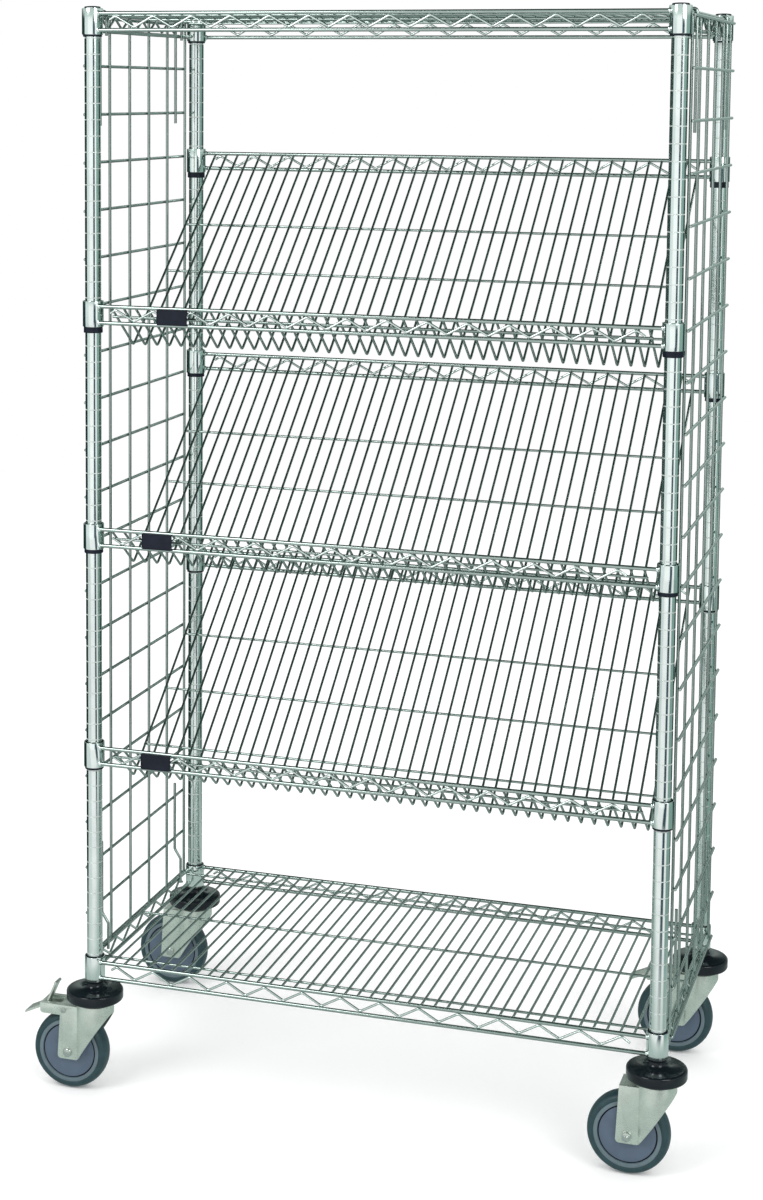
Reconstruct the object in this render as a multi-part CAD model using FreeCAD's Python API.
import FreeCAD, Part
import math
import os

# A slanted shelf cart: four grooved posts on swivel casters carry two flat wire shelves, three slanted
# wire shelves and two hanging side panels. Lengths are in millimetres and angles in degrees. The frame has
# +Z up, the cart's front at -Y, and its origin on the floor under the middle of the whole cart.

# Posts
post_spacing_x = 914.4
post_spacing_y = 457.2
post_d = 25.4
post_wall = 1.6
post_proud = 1.0
groove_pitch = 25.4
groove_width = 1.8
groove_depth = 0.8
cap_flange = 1.0
cap_dome = 1.6
cap_plug = 12.0
socket_length = 46.0

# Collars and split sleeves of every shelf
collar_d = 33.0
collar_height = 41.0
collar_bevel = 0.6
sleeve_height = 42.0
sleeve_foot_wall = 2.3
sleeve_head_wall = 1.7
sleeve_play = 0.1
sleeve_fit = 0.05
sleeve_split = 1.2
# A taper is turned in this many short bands, so that meshes of it keep their volume
taper_band_count = 8

# Shelf levels, in grooves above the bottom shelf: front, back
groove_count = 61
shelf_levels = {
    "top_shelf": (60, 60),
    "upper_slanted_shelf": (42, 51),
    "middle_slanted_shelf": (28, 37),
    "lower_slanted_shelf": (14, 23),
    "bottom_shelf": (0, 0),
}
flat_shelves = ("top_shelf", "bottom_shelf")
# How far each shelf's sleeves show below its collars
sleeve_drops = {
    "top_shelf": 3.0,
    "upper_slanted_shelf": 9.5,
    "middle_slanted_shelf": 6.5,
    "lower_slanted_shelf": 3.5,
    "bottom_shelf": 0.0,
}

# Truss wires
chord_d = 6.3
chord_inset = 8.0
chord_gap = 26.0
truss_offset = 9.0
zigzag_d = 3.9
zigzag_bend = 6.0
zigzag_start = 42.0
zigzag_end = 52.5
side_zigzag_margin = 54.0
zigzag_play = 0.02
zigzag_peak_count = 14
side_zigzag_peak_count = 7
hook_stub_run = 9.0
hook_stub_drop = 6.0
tail_stub_run = 13.0
tail_stub_drop = 9.0
# These front zigzags lie further left and start on the way down to their first valley
zigzag_slides = {
    "middle_slanted_shelf": 20.0,
    "lower_slanted_shelf": 20.0,
}
slide_stub_share = 0.55

# Mat wires
mat_d = 3.9
mat_count = 42
mat_margin = 34.0
cross_d = 4.0
cross_set_back = 35.0
cross_overhang = 4.0
apex_behind = 84.0
apex_below = 77.5
mat_bend = 7.0
# Where the cross wires lie on the slope and on the lip, counted from the apex
slope_cross_shares = (0.135, 0.376, 0.618)
lip_cross_share = 0.8

# Label plates, measured from the front left post to the plate's middle
label_width = 50.0
label_height = 25.0
label_thickness = 3.0
label_corner = 2.0
label_places = {
    "upper_slanted_shelf": 138.0,
    "middle_slanted_shelf": 113.0,
    "lower_slanted_shelf": 111.0,
}

# Side panels
panel_wire_d = 4.8
panel_verticals = 6
panel_horizontals = 21
panel_edge_gap = 18.6
panel_overhang_y = 7.0
panel_overhang_z = 4.0
panel_below_collar_top = 13.0
hook_from_end = 45.0
hook_tail_below = 18.0
hook_tail_pitches = 2
hook_inside_drop = 33.0
rod_head_above = 28.0
rod_head_pitches = 2
rod_jog_above = 38.0
rod_jog_height = 17.0
rod_foot_below = 3.0
rod_bend = 7.0

# Casters
tyre_d = 127.0
tyre_width = 32.0
tread_shoulder = 7.0
tread_crown = 1.2
tyre_wall = 11.5
core_width = 30.0
rim_width = 6.4
rim_groove = 1.2
rim_groove_depth = 1.6
web_recess = 1.5
boss_d = 30.0
boss_width = 35.0
bush_d = 12.0
running_clearance = 0.05
leg_clearance = 0.7
fork_sheet = 3.0
trail = 40.0
crown_gap = 11.5
cup_d = 62.0
cup_wall = 3.0
cup_height = 4.5
cup_skirt = 6.0
cup_gap = 0.6
leg_back_top = 13.0
leg_foot_half = 17.5
leg_foot_drop = 11.5
leg_foot_corner = 6.0
ball_d = 5.0
ball_circle_d = 40.0
ball_count = 14
ball_play = 0.1
race_thickness = 5.3
stem_d = 12.7
stem_reach = 38.0
stem_head_d = 22.0
stem_head_height = 5.0
axial_play = 0.1
axle_d = 8.0
axle_head_d = 15.0
axle_head_height = 4.5
axle_head_rim = 1.2
nut_flats = 13.0
nut_side_count = 6
nut_height = 6.0
axle_tail = 3.0

# Bumpers
bumper_d = 92.0
bumper_thickness = 18.0
bumper_round = 4.0
neck_height = 14.0
neck_base_d = 46.0
neck_waist_d = 27.0
neck_waist_height = 7.0
neck_top_d = 30.0

# Brake housings and pedals, placed from the stem's axis and from the fork's top face
brake_corners = ("front_left", "back_right")
housing_reach = 88.0
housing_height = 17.0
housing_corner = 5.0
slot_end = 5.0
slot_front = 55.0
slot_half = 12.0
pin_d = 5.5
pin_behind = 47.0
pin_below = 8.7
pin_head_d = 8.5
pin_head_height = 1.4
pedal_width = 30.0
pedal_sheet = 3.0
pedal_boss_d = 9.5
pedal_knee_behind = 86.0
pedal_knee_below = 4.5
pedal_tip_behind = 117.0
pedal_tip_below = 22.0
tab_root_behind = 83.0
tab_tip_behind = 66.0
tab_tip_above = 30.0
tab_width = 20.0
tab_bar = 5.0
shoe_front = 54.0
shoe_back = 60.0
shoe_below = 13.4

# One overrun serves every cut
overrun = 5.0

# What follows from the sizes above
V = FreeCAD.Vector
UP = V(0, 0, 1)
ACROSS = V(0, 1, 0)
ORIGIN = V(0, 0, 0)
corners = {
    "front_left": (-1, -1),
    "front_right": (1, -1),
    "back_left": (-1, 1),
    "back_right": (1, 1),
}
half_x = post_spacing_x / 2
half_y = post_spacing_y / 2
post_r = post_d / 2
collar_r = collar_d / 2
chord_r = chord_d / 2
axle_z = tyre_d / 2
core_r = tyre_d / 2 - tyre_wall
plate_bottom = tyre_d + crown_gap
plate_top = plate_bottom + fork_sheet
race_bottom = plate_top + ball_d + 2 * ball_play
bumper_bottom = race_bottom + race_thickness
bumper_top = bumper_bottom + bumper_thickness
post_bottom = bumper_top + neck_height
first_groove = post_bottom + collar_height / 2
post_top = post_bottom + collar_height + (groove_count - 1) * groove_pitch + post_proud
truss_x = half_x + truss_offset
truss_y = half_y + truss_offset
panel_reach_y = half_y - panel_edge_gap
panel_pitch_y = 2 * panel_reach_y / (panel_verticals - 1)
panel_pitch_z = (groove_count - 1) * groove_pitch / (panel_horizontals - 1)
bumper_r = bumper_d / 2
reach_left = half_x + pedal_tip_behind + pedal_sheet / 2
reach_right = half_x + bumper_r
shift = V((reach_left - reach_right) / 2, 0, 0)


def collar_top(level):
    """Height of a collar's top, for a level counted in grooves above the bottom shelf."""
    return post_bottom + collar_height + level * groove_pitch


def rod(start, end, diameter):
    """A straight round wire between two points."""
    along = end - start
    return Part.makeCylinder(diameter / 2, along.Length, start, along)


def rounded_path(points, radius):
    """Straight runs through the points, with a tangent arc at every corner."""
    edges = []
    start = points[0]
    for before, corner, after in zip(points, points[1:], points[2:]):
        back = (before - corner).normalize()
        ahead = (after - corner).normalize()
        half_angle = back.getAngle(ahead) / 2
        reach = radius / math.tan(half_angle)
        bisector = (back + ahead).normalize()
        middle = corner + bisector * (radius / math.sin(half_angle) - radius)
        entry = corner + back * reach
        leave = corner + ahead * reach
        edges.append(Part.LineSegment(start, entry).toShape())
        edges.append(Part.Arc(entry, middle, leave).toShape())
        start = leave
    edges.append(Part.LineSegment(start, points[-1]).toShape())
    return Part.Wire(edges)


def bent_rod(points, diameter, radius):
    """A round wire bent at every inner point."""
    path = rounded_path(points, radius)
    ring = Part.Wire([Part.Circle(points[0], points[1] - points[0], diameter / 2).toShape()])
    solid = path.makePipeShell([ring], True, False)
    full = math.pi * diameter * diameter / 4 * path.Length
    if abs(solid.Volume / full - 1) > 0.01:
        print("a bent wire has", round(solid.Volume / full, 3), "of its volume")
    return solid


def turned(points, axis_point=ORIGIN, axis=UP, angle=360):
    """A solid turned from an outline of points and arcs. An arc is given as its middle and end points."""
    edges = []
    here = points[0]
    for step in points[1:] + points[:1]:
        if isinstance(step, tuple):
            edges.append(Part.Arc(here, step[0], step[1]).toShape())
            here = step[1]
        else:
            edges.append(Part.LineSegment(here, step).toShape())
            here = step
    return Part.Face(Part.Wire(edges)).revolve(axis_point, axis, angle)


def placed(shape, x, y, z=0):
    """A copy of a shape, moved from the origin to a place."""
    copy = shape.copy()
    copy.translate(V(x, y, z))
    return copy


def at_corners(shape):
    """Copies of a shape on the four post axes."""
    return [placed(shape, sx * half_x, sy * half_y) for sx, sy in corners.values()]


def post():
    """A grooved tube on the Z axis."""
    inner_r = post_r - post_wall
    outline = [V(inner_r, 0, post_bottom), V(post_r, 0, post_bottom)]
    for count in range(groove_count):
        middle = first_groove + count * groove_pitch
        outline.append(V(post_r, 0, middle - groove_width / 2))
        outline.append(V(post_r - groove_depth, 0, middle - groove_width / 4))
        outline.append(V(post_r - groove_depth, 0, middle + groove_width / 4))
        outline.append(V(post_r, 0, middle + groove_width / 2))
    outline += [V(post_r, 0, post_top), V(inner_r, 0, post_top)]
    return turned(outline)


def post_cap():
    """A domed cap whose plug fills the top of the post."""
    plug_r = post_r - post_wall
    flange_top = post_top + cap_flange
    dome_top = flange_top + cap_dome
    dome_r = (post_r * post_r + cap_dome * cap_dome) / (2 * cap_dome)
    lean = math.asin(post_r / dome_r) / 2
    dome_middle = V(dome_r * math.sin(lean), 0, dome_top - dome_r + dome_r * math.cos(lean))
    outline = [
        V(0, 0, post_top - cap_plug),
        V(plug_r, 0, post_top - cap_plug),
        V(plug_r, 0, post_top),
        V(post_r, 0, post_top),
        V(post_r, 0, flange_top),
        (dome_middle, V(0, 0, dome_top)),
    ]
    return turned(outline)


def stem_socket():
    """A sleeve inside the foot of the post, with the stem's bore."""
    outer = Part.makeCylinder(post_r - post_wall, socket_length, V(0, 0, post_bottom))
    bore = Part.makeCylinder(stem_d / 2, socket_length + 2 * overrun, V(0, 0, post_bottom - overrun))
    return outer.cut(bore)


def sleeve_outer_r(height):
    """Outer radius of the wedge sleeve at a height above the foot of its collar."""
    share = height / collar_height
    return post_r + sleeve_foot_wall + (sleeve_head_wall - sleeve_foot_wall) * share


def taper(low, high, room):
    """Points up the sleeve's outer taper between two heights, with room added to its radius."""
    rise = (high - low) / taper_band_count
    heights = [low + count * rise for count in range(taper_band_count + 1)]
    return [V(sleeve_outer_r(height) + room, 0, height) for height in heights]


def collar():
    """A collar with its foot at the origin, bored to the sleeve's taper."""
    outline = taper(0, collar_height, sleeve_fit) + [
        V(collar_r - collar_bevel, 0, collar_height),
        V(collar_r, 0, collar_height - collar_bevel),
        V(collar_r, 0, collar_bevel),
        V(collar_r - collar_bevel, 0, 0),
    ]
    return turned(outline)


def sleeve_halves(drop):
    """The two halves of a split sleeve, with a ridge in the post's groove, for a collar at the origin."""
    ridge_r = post_r - groove_depth + sleeve_play
    ridge_half = groove_width / 2 - sleeve_play
    middle = collar_height / 2
    head = sleeve_height - drop
    outline = taper(-drop, head, 0) + [
        V(post_r, 0, head),
        V(post_r, 0, middle + ridge_half),
        V(ridge_r, 0, middle + ridge_half / 2),
        V(ridge_r, 0, middle - ridge_half / 2),
        V(post_r, 0, middle - ridge_half),
        V(post_r, 0, -drop),
    ]
    whole = turned(outline)
    corner = V(-collar_d, sleeve_split / 2, -drop - overrun)
    half_box = Part.makeBox(2 * collar_d, collar_d, sleeve_height + 2 * overrun, corner)
    front = whole.common(half_box)
    back = front.copy()
    back.rotate(ORIGIN, UP, 180)
    return [front, back]


def cut_at_posts(wire):
    """Trims a chord wire to the outside of the collars that it is welded to."""
    height = wire.BoundBox.ZMin - overrun
    block = Part.makeCylinder(collar_r, chord_d + 2 * overrun, V(0, 0, height))
    return wire.cut(at_corners(block))


def zigzag(first, last, peaks, top_z, slide=0):
    """The zigzag wire of a truss along X, from its first peak to its last, with a stub at each end."""
    pitch = (last - first) / (peaks - 1)
    reach = (chord_d + zigzag_d) / 2 + zigzag_play
    slope = math.atan2(chord_gap, pitch / 2)
    for settle in range(20):
        round_off = zigzag_bend * (1 / math.cos(slope) - 1)
        slope = math.atan2(chord_gap - 2 * reach + 2 * round_off, pitch / 2)
    high = top_z - reach + round_off
    low = top_z - chord_gap + reach - round_off
    if slide:
        steps = [(first + pitch / 2 * (1 - slide_stub_share), low + (high - low) * slide_stub_share)]
    else:
        steps = [(first - hook_stub_run, high - hook_stub_drop), (first, high)]
    for count in range(peaks - 1):
        steps.append((first + (count + 0.5) * pitch, low))
        steps.append((first + (count + 1) * pitch, high))
    steps.append((last + tail_stub_run, high - tail_stub_drop))
    points = [V(run - slide, 0, height) for run, height in steps]
    return bent_rod(points, zigzag_d, zigzag_bend)


def long_truss(level, side, slide=0):
    """Front or back truss: two chords and a zigzag between the collars of one level."""
    top_z = collar_top(level) - chord_inset
    place = side * truss_y
    wires = [zigzag(zigzag_start - half_x, half_x - zigzag_end, zigzag_peak_count, top_z, slide)]
    wires[0].translate(V(0, place, 0))
    for height in (top_z, top_z - chord_gap):
        wires.append(cut_at_posts(rod(V(-half_x, place, height), V(half_x, place, height), chord_d)))
    return wires


def side_truss(level, side):
    """Left or right truss of a flat shelf."""
    top_z = collar_top(level) - chord_inset
    place = side * truss_x
    reach = half_y - side_zigzag_margin
    wires = [zigzag(-reach, reach, side_zigzag_peak_count, top_z)]
    wires[0].rotate(ORIGIN, UP, 90)
    wires[0].translate(V(place, 0, 0))
    for height in (top_z, top_z - chord_gap):
        wires.append(cut_at_posts(rod(V(place, -half_y, height), V(place, half_y, height), chord_d)))
    return wires


def mat_places():
    """Where the mat wires stand along X."""
    first = half_x - mat_margin
    pitch = 2 * first / (mat_count - 1)
    return [-first + count * pitch for count in range(mat_count)]


def flat_mat(level):
    """Mat of a flat shelf: wires between the upper chords of the long trusses, on three cross wires."""
    z = collar_top(level) - chord_inset + chord_r - mat_d / 2
    reach = truss_y - chord_r
    wires = [rod(V(x, -reach, z), V(x, reach, z), mat_d) for x in mat_places()]
    cross_z = z - (mat_d + cross_d) / 2
    cross_end = truss_x - chord_r
    for y in (cross_set_back - truss_y, 0, truss_y - cross_set_back):
        wires.append(rod(V(-cross_end, y, cross_z), V(cross_end, y, cross_z), cross_d))
    return wires


def slanted_mat(front_level, back_level):
    """Mat of a slanted shelf: wires from the back chord down to an apex, then up to the front chord."""
    front_chord = V(0, -truss_y, collar_top(front_level) - chord_inset)
    back_chord = V(0, truss_y, collar_top(back_level) - chord_inset)
    apex = V(0, apex_behind - half_y, collar_top(front_level) - apex_below)
    down = (apex - back_chord).normalize()
    up = (front_chord - apex).normalize()
    points = [back_chord + down * chord_r, apex, front_chord - up * chord_r]
    wire = bent_rod(points, mat_d, mat_bend)
    wires = [placed(wire, x, 0) for x in mat_places()]
    under = (mat_d + cross_d) / 2
    slope_under = V(0, -down.z, down.y) * under
    lip_under = V(0, -up.z, up.y) * under
    end = half_x - mat_margin + cross_overhang
    seats = [apex + (back_chord - apex) * share + slope_under for share in slope_cross_shares]
    seats.append(apex + (front_chord - apex) * lip_cross_share + lip_under)
    for seat in seats:
        wires.append(rod(seat + V(-end, 0, 0), seat + V(end, 0, 0), cross_d))
    return wires


def label_plate(level, place):
    """A bare plate with rounded corners on the front of a slanted shelf's truss."""
    back_y = -truss_y - chord_r
    middle_z = collar_top(level) - chord_inset - chord_gap / 2
    low = V(place - half_x - label_width / 2, back_y - label_thickness, middle_z - label_height / 2)
    plate = Part.makeBox(label_width, label_thickness, label_height, low)
    upright = [edge for edge in plate.Edges if abs(edge.tangentAt(edge.FirstParameter).y) > 0.9]
    return plate.makeFillet(label_corner, upright)


def panel_grid(side):
    """Vertical wires against the side trusses, and horizontal wires on their outside."""
    upright_x = side * (truss_x + chord_r + panel_wire_d / 2)
    level_x = upright_x + side * panel_wire_d
    low = collar_top(0) - panel_below_collar_top
    high = low + (panel_horizontals - 1) * panel_pitch_z
    wires = []
    for count in range(panel_verticals):
        y = count * panel_pitch_y - panel_reach_y
        foot = V(upright_x, y, low - panel_overhang_z)
        head = V(upright_x, y, high + panel_overhang_z)
        wires.append(rod(foot, head, panel_wire_d))
    for count in range(panel_horizontals):
        z = low + count * panel_pitch_z
        end = panel_reach_y + panel_overhang_y
        wires.append(rod(V(level_x, -end, z), V(level_x, end, z), panel_wire_d))
    return wires


def panel_hooks(side):
    """Two hooks over the top shelf's side chord, and two rods that slip behind the bottom shelf's."""
    chord_x = side * truss_x
    clear = chord_r + panel_wire_d / 2
    outside = chord_x + side * clear
    inside = chord_x - side * clear
    low = collar_top(0) - panel_below_collar_top
    high = low + (panel_horizontals - 1) * panel_pitch_z
    top_chord_z = collar_top(groove_count - 1) - chord_inset
    bottom_chord_z = collar_top(0) - chord_inset
    tail_z = high - hook_tail_pitches * panel_pitch_z - hook_tail_below
    jog_z = bottom_chord_z + rod_jog_above
    solids = []
    for end in (-1, 1):
        y = end * (panel_reach_y - hook_from_end)
        start = V(outside, y, tail_z)
        shoulder = V(outside, y, top_chord_z)
        crown = V(chord_x, y, top_chord_z + clear)
        over = V(inside, y, top_chord_z)
        finish = V(inside, y, top_chord_z - hook_inside_drop)
        path = Part.Wire([
            Part.LineSegment(start, shoulder).toShape(),
            Part.Arc(shoulder, crown, over).toShape(),
            Part.LineSegment(over, finish).toShape(),
        ])
        ring = Part.Wire([Part.Circle(start, UP, panel_wire_d / 2).toShape()])
        solids.append(path.makePipeShell([ring], True, False))
        head = V(outside, y, low + rod_head_pitches * panel_pitch_z + rod_head_above)
        knee = V(outside, y, jog_z + rod_jog_height)
        ankle = V(inside, y, jog_z)
        foot = V(inside, y, bottom_chord_z - chord_r - rod_foot_below)
        solids.append(bent_rod([head, knee, ankle, foot], panel_wire_d, rod_bend))
    return solids


def bumper():
    """A round buffer disc with a waisted neck that carries the post."""
    stem_r = stem_d / 2
    soft = bumper_round * (1 - math.sqrt(0.5))
    outline = [
        V(stem_r, 0, bumper_bottom),
        V(bumper_r - bumper_round, 0, bumper_bottom),
        (V(bumper_r - soft, 0, bumper_bottom + soft), V(bumper_r, 0, bumper_bottom + bumper_round)),
        V(bumper_r, 0, bumper_top - bumper_round),
        (V(bumper_r - soft, 0, bumper_top - soft), V(bumper_r - bumper_round, 0, bumper_top)),
        V(neck_base_d / 2, 0, bumper_top),
        (V(neck_waist_d / 2, 0, bumper_top + neck_waist_height), V(neck_top_d / 2, 0, post_bottom)),
        V(stem_r, 0, post_bottom),
    ]
    return turned(outline)


def caster_stem():
    """The king bolt: a head under the fork's plate and a shank up into the post's socket."""
    head_top = plate_bottom - axial_play
    head = Part.makeCylinder(stem_head_d / 2, stem_head_height, V(0, 0, head_top - stem_head_height))
    shank = Part.makeCylinder(stem_d / 2, post_bottom + stem_reach - head_top, V(0, 0, head_top))
    return head.fuse(shank).removeSplitter()


def upper_race():
    """The fixed race between the balls and the bumper."""
    race_r = cup_d / 2 - cup_wall - cup_gap
    disc = Part.makeCylinder(race_r, race_thickness, V(0, 0, race_bottom))
    bore_foot = V(0, 0, race_bottom - overrun)
    return disc.cut(Part.makeCylinder(stem_d / 2, race_thickness + 2 * overrun, bore_foot))


def swivel_balls():
    """The ring of balls between the fork's plate and the upper race."""
    balls = []
    for count in range(ball_count):
        turn = math.radians(360 * count / ball_count)
        x = ball_circle_d / 2 * math.cos(turn)
        y = ball_circle_d / 2 * math.sin(turn)
        balls.append(Part.makeSphere(ball_d / 2, V(x, y, plate_top + ball_play + ball_d / 2)))
    return balls


def leg_inner():
    """Half of the clear width between the fork's legs."""
    return boss_width / 2 + leg_clearance


def side_plate(points, thickness, low_y):
    """A plate cut to an outline in the XZ plane, thick along Y."""
    outline = Part.makePolygon([V(x, low_y, z) for x, z in points + points[:1]])
    return Part.Face(outline).extrude(V(0, thickness, 0))


def soften(plate, places, radius):
    """Rounds the edges of a side plate that lie at the given places of its outline."""
    edges = []
    for edge in plate.Edges:
        if abs(edge.tangentAt(edge.FirstParameter).y) < 0.9:
            continue
        spot = edge.CenterOfMass
        if any(math.hypot(spot.x - x, spot.z - z) < radius for x, z in places):
            edges.append(edge)
    return plate.makeFillet(radius, edges)


def fork(brake):
    """A pressed fork on the stem's axis, trailing to -X, with a brake housing behind it if asked.

    Behind a crease its legs are flat, and in front of the crease they follow the round cup.
    """
    inner = leg_inner()
    outer = inner + fork_sheet
    cup_r = cup_d / 2
    crease = -math.sqrt(max(cup_r * cup_r - outer * outer, 0))
    foot_z = axle_z - leg_foot_drop
    leg_back = -trail - leg_back_top
    foot_back = (-trail - leg_foot_half, foot_z)
    foot_front = (-trail + leg_foot_half, foot_z)
    points = [foot_back, foot_front, (cup_r, plate_bottom - cup_skirt), (cup_r, plate_top)]
    plate_back = leg_back
    if brake:
        plate_back = -housing_reach
        housing_z = plate_top - housing_height
        points += [(plate_back, plate_top), (plate_back, housing_z), (leg_back, housing_z)]
    else:
        points += [(leg_back, plate_top)]
    tall = plate_top - foot_z
    ahead = Part.makeBox(cup_r - crease, 2 * outer, tall, V(crease, -outer, foot_z))
    legs = []
    for low_y in (-outer, inner):
        leg = soften(side_plate(points, fork_sheet, low_y), [foot_back, foot_front], leg_foot_corner)
        if brake:
            leg = soften(leg, [points[5]], housing_corner)
        legs.append(leg.cut(ahead))
    wrap = soften(side_plate(points, 2 * cup_r, -cup_r), [foot_back, foot_front], leg_foot_corner)
    wrap = wrap.common(Part.makeBox(cup_r - crease, 2 * cup_r, tall, V(crease, -cup_r, foot_z)))
    wrap = wrap.common(Part.makeCylinder(cup_r, tall, V(0, 0, foot_z)))
    wrap = wrap.cut([
        Part.makeCylinder(cup_r - cup_wall, tall, V(0, 0, foot_z)),
        Part.makeBox(-crease, 2 * inner, tall, V(crease, -inner, foot_z)),
    ])
    plate = Part.makeBox(-plate_back, 2 * outer, fork_sheet, V(plate_back, -outer, plate_bottom))
    plate = plate.fuse(Part.makeCylinder(cup_r, fork_sheet, V(0, 0, plate_bottom)))
    ring = Part.makeCylinder(cup_r, cup_height, V(0, 0, plate_top))
    ring = ring.cut(Part.makeCylinder(cup_r - cup_wall, cup_height + overrun, V(0, 0, plate_top)))
    solid = plate.fuse([ring, wrap] + legs).removeSplitter()
    bore_foot = V(0, 0, plate_bottom - overrun)
    bore_r = stem_d / 2 + running_clearance
    across = 2 * (outer + overrun)
    cuts = [
        Part.makeCylinder(bore_r, fork_sheet + 2 * overrun, bore_foot),
        Part.makeCylinder(axle_d / 2, across, V(-trail, -outer - overrun, axle_z), ACROSS),
    ]
    if brake:
        pin_z = plate_top - pin_below
        slot_back = -housing_reach + slot_end
        slot_length = -slot_front - slot_back
        slot_low = V(slot_back, -slot_half, plate_bottom - overrun)
        cuts.append(Part.makeBox(slot_length, 2 * slot_half, fork_sheet + 2 * overrun, slot_low))
        cuts.append(Part.makeCylinder(pin_d / 2, across, V(-pin_behind, -outer - overrun, pin_z), ACROSS))
    return solid.cut(cuts)


def axle_set(side):
    """Bolt, spanner bush and nut. The bolt's domed head is at -Y for side -1 and at +Y for side 1."""
    outer = leg_inner() + fork_sheet
    axle_r = axle_d / 2
    head_r = axle_head_d / 2
    rim_y = outer + axle_head_rim
    tip_y = outer + axle_head_height
    tail_y = -outer - nut_height - axle_tail
    dome = axle_head_height - axle_head_rim
    dome_r = (head_r * head_r + dome * dome) / (2 * dome)
    lean = math.asin(head_r / dome_r) / 2
    dome_middle = V(dome_r * math.sin(lean), tip_y - dome_r + dome_r * math.cos(lean), 0)
    bolt = turned([
        V(0, tail_y, 0),
        V(axle_r, tail_y, 0),
        V(axle_r, outer, 0),
        V(head_r, outer, 0),
        V(head_r, rim_y, 0),
        (dome_middle, V(0, tip_y, 0)),
    ], axis=ACROSS)
    bush = Part.makeCylinder(bush_d / 2, 2 * leg_inner(), V(0, -leg_inner(), 0), ACROSS)
    bush = bush.cut(Part.makeCylinder(axle_r, 2 * outer, V(0, -outer, 0), ACROSS))
    nut_r = nut_flats / (2 * math.cos(math.pi / nut_side_count))
    rim = []
    for count in range(nut_side_count + 1):
        turn = 2 * math.pi * count / nut_side_count
        rim.append(V(nut_r * math.cos(turn), -outer - nut_height, nut_r * math.sin(turn)))
    nut = Part.Face(Part.makePolygon(rim)).extrude(V(0, nut_height, 0))
    bore_start = V(0, -outer - nut_height - overrun, 0)
    nut = nut.cut(Part.makeCylinder(axle_r, nut_height + 2 * overrun, bore_start, ACROSS))
    solids = [bolt, bush, nut]
    for solid in solids:
        if side < 0:
            solid.rotate(ORIGIN, UP, 180)
        solid.translate(V(-trail, 0, axle_z))
    return solids


def tyre():
    """A tyre with rounded shoulders and a slightly crowned tread, on the wheel's axis."""
    half = tyre_width / 2
    bead_half = core_width / 2
    edge_r = tyre_d / 2 - tread_crown
    soft = tread_shoulder * (1 - math.sqrt(0.5))
    side_r = edge_r - tread_shoulder
    flat = half - tread_shoulder
    outline = [
        V(core_r, -bead_half, 0),
        V(core_r, bead_half, 0),
        V(side_r, half, 0),
        (V(edge_r - soft, half - soft, 0), V(edge_r, flat, 0)),
        (V(tyre_d / 2, 0, 0), V(edge_r, -flat, 0)),
        (V(edge_r - soft, soft - half, 0), V(side_r, -half, 0)),
    ]
    solid = turned(outline, axis=ACROSS)
    solid.translate(V(-trail, 0, axle_z))
    return solid


def wheel_core():
    """The wheel's core: a rim, a ring groove in each face, a web and a bored boss."""
    rim_half = core_width / 2
    groove_outer = core_r - rim_width
    groove_inner = groove_outer - rim_groove
    web_half = rim_half - web_recess
    groove_floor = rim_half - rim_groove_depth - web_recess
    boss_half = boss_width / 2
    bore_r = bush_d / 2 + running_clearance
    upper = [
        V(bore_r, boss_half, 0),
        V(boss_d / 2, boss_half, 0),
        V(boss_d / 2, web_half, 0),
        V(groove_inner, web_half, 0),
        V(groove_inner, groove_floor, 0),
        V(groove_outer, groove_floor, 0),
        V(groove_outer, rim_half, 0),
        V(core_r, rim_half, 0),
    ]
    lower = [V(point.x, -point.y, 0) for point in reversed(upper)]
    solid = turned(upper + lower, axis=ACROSS)
    solid.translate(V(-trail, 0, axle_z))
    return solid


def pedal_pin():
    """The pin through the brake housing, with a low head on each side."""
    outer = leg_inner() + fork_sheet
    seat = V(-pin_behind, 0, plate_top - pin_below)
    shank = Part.makeCylinder(pin_d / 2, 2 * outer, seat - ACROSS * outer, ACROSS)
    heads = [
        Part.makeCylinder(pin_head_d / 2, pin_head_height, seat + ACROSS * outer, ACROSS),
        Part.makeCylinder(pin_head_d / 2, pin_head_height, seat - ACROSS * (outer + pin_head_height), ACROSS),
    ]
    return shank.fuse(heads).removeSplitter()


def strip(start, end, width, thickness):
    """A flat strip between two places in the XZ plane, centred on the line between them."""
    along = V(end[0] - start[0], 0, end[1] - start[1])
    plate = Part.makeBox(along.Length, width, thickness, V(0, -width / 2, -thickness / 2))
    plate.rotate(ORIGIN, ACROSS, -math.degrees(math.atan2(along.z, along.x)))
    plate.translate(V(start[0], 0, start[1]))
    return plate


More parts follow.
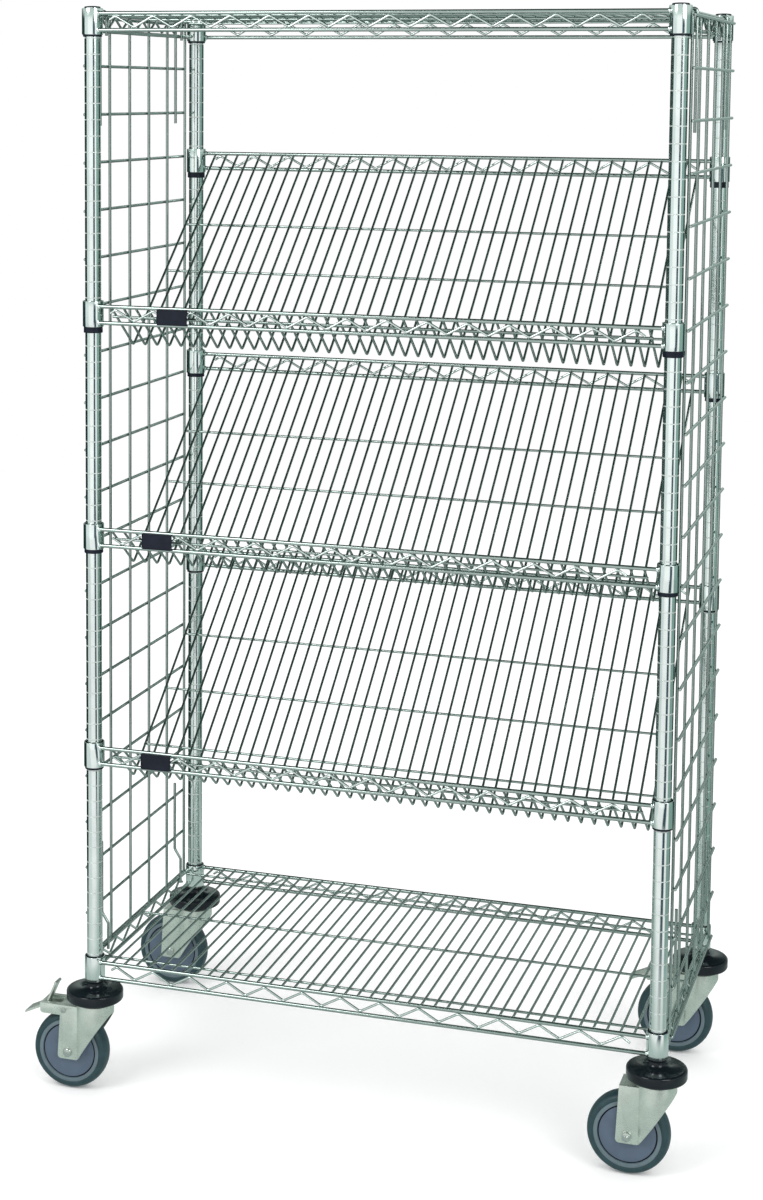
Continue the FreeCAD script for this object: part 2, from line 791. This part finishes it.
def brake_pedal():
    """A rocking pedal: a boss on the pin, a foot tread, a raised release tab and a brake shoe."""
    pin = (-pin_behind, plate_top - pin_below)
    knee = (-pedal_knee_behind, plate_top - pedal_knee_below - pedal_sheet)
    tip = (-pedal_tip_behind, plate_top - pedal_tip_below)
    tab_root = (-tab_root_behind, knee[1])
    tab_tip = (-tab_tip_behind, plate_top + tab_tip_above)
    seat = V(pin[0], 0, pin[1])
    half = pedal_width / 2
    boss = Part.makeCylinder(pedal_boss_d / 2, pedal_width, seat - ACROSS * half, ACROSS)
    arm = strip(pin, knee, pedal_width, pedal_sheet)
    tread = strip(knee, tip, pedal_width, pedal_sheet)
    elbow = Part.makeCylinder(pedal_sheet / 2, pedal_width, V(knee[0], -half, knee[1]), ACROSS)
    toe = Part.makeCylinder(pedal_sheet / 2, pedal_width, V(tip[0], -half, tip[1]), ACROSS)
    tab = strip(tab_root, tab_tip, tab_width, pedal_sheet)
    bar = Part.makeCylinder(tab_bar / 2, tab_width, V(tab_tip[0], -tab_width / 2, tab_tip[1]), ACROSS)
    shoe_z = plate_top - shoe_below
    shoe_height = pin[1] - shoe_z
    shoe = Part.makeBox(shoe_back - shoe_front, pedal_width, shoe_height, V(-shoe_back, -half, shoe_z))
    solid = boss.fuse([arm, tread, elbow, toe, tab, bar, shoe]).removeSplitter()
    bore = Part.makeCylinder(
        pin_d / 2 + running_clearance, pedal_width + 2 * overrun, seat - ACROSS * (half + overrun), ACROSS
    )
    return solid.cut(bore)


# Every node's solids, by the node's name
nodes = {}

one_post = post()
for name, (sx, sy) in corners.items():
    nodes["post_" + name] = [placed(one_post, sx * half_x, sy * half_y)]
nodes["post_caps"] = at_corners(post_cap())
nodes["stem_sockets"] = at_corners(stem_socket())

one_collar = collar()
for shelf, levels in shelf_levels.items():
    collars = []
    sleeves = []
    halves = sleeve_halves(sleeve_drops[shelf])
    for sx, sy in corners.values():
        foot = collar_top(levels[0] if sy < 0 else levels[1]) - collar_height
        collars.append(placed(one_collar, sx * half_x, sy * half_y, foot))
        sleeves += [placed(half, sx * half_x, sy * half_y, foot) for half in halves]
    trusses = long_truss(levels[0], -1, zigzag_slides.get(shelf, 0)) + long_truss(levels[1], 1)
    if shelf in flat_shelves:
        trusses += side_truss(levels[0], -1) + side_truss(levels[0], 1)
        mat = flat_mat(levels[0])
    else:
        mat = slanted_mat(levels[0], levels[1])
        nodes[shelf + "_label"] = [label_plate(levels[0], label_places[shelf])]
    nodes[shelf + "_collars"] = collars
    nodes[shelf + "_sleeves"] = sleeves
    nodes[shelf + "_trusses"] = trusses
    nodes[shelf + "_mat"] = mat

for side, name in ((-1, "left"), (1, "right")):
    nodes[name + "_panel_grid"] = panel_grid(side)
    nodes[name + "_panel_hooks"] = panel_hooks(side)

nodes["bumpers"] = at_corners(bumper())
nodes["caster_stems"] = at_corners(caster_stem())
nodes["upper_races"] = at_corners(upper_race())
nodes["swivel_balls"] = [copy for ball in swivel_balls() for copy in at_corners(ball)]

one_tyre = tyre()
one_core = wheel_core()
one_pedal = brake_pedal()
one_pin = pedal_pin()
forks = {True: fork(True), False: fork(False)}
for name, (sx, sy) in corners.items():
    braked = name in brake_corners
    pieces = {
        "fork_": [forks[braked]],
        "axle_": axle_set(sx),
        "tyre_": [one_tyre],
        "wheel_core_": [one_core],
    }
    if braked:
        pieces["brake_pedal_"] = [one_pedal]
        pieces["pedal_pin_"] = [one_pin]
    for prefix, solids in pieces.items():
        nodes[prefix + name] = [placed(solid, sx * half_x, sy * half_y) for solid in solids]

os.makedirs("parts", exist_ok=True)
for name, solids in nodes.items():
    whole = Part.makeCompound([placed(solid, shift.x, 0) for solid in solids])
    if not whole.isValid():
        print("not valid:", name)
    whole.exportStep("parts/" + name + ".step")
print(len(nodes), "nodes,", sum(len(solids) for solids in nodes.values()), "solids")
print("overall height", round(post_top + cap_flange + cap_dome, 2), "shift", round(shift.x, 2))
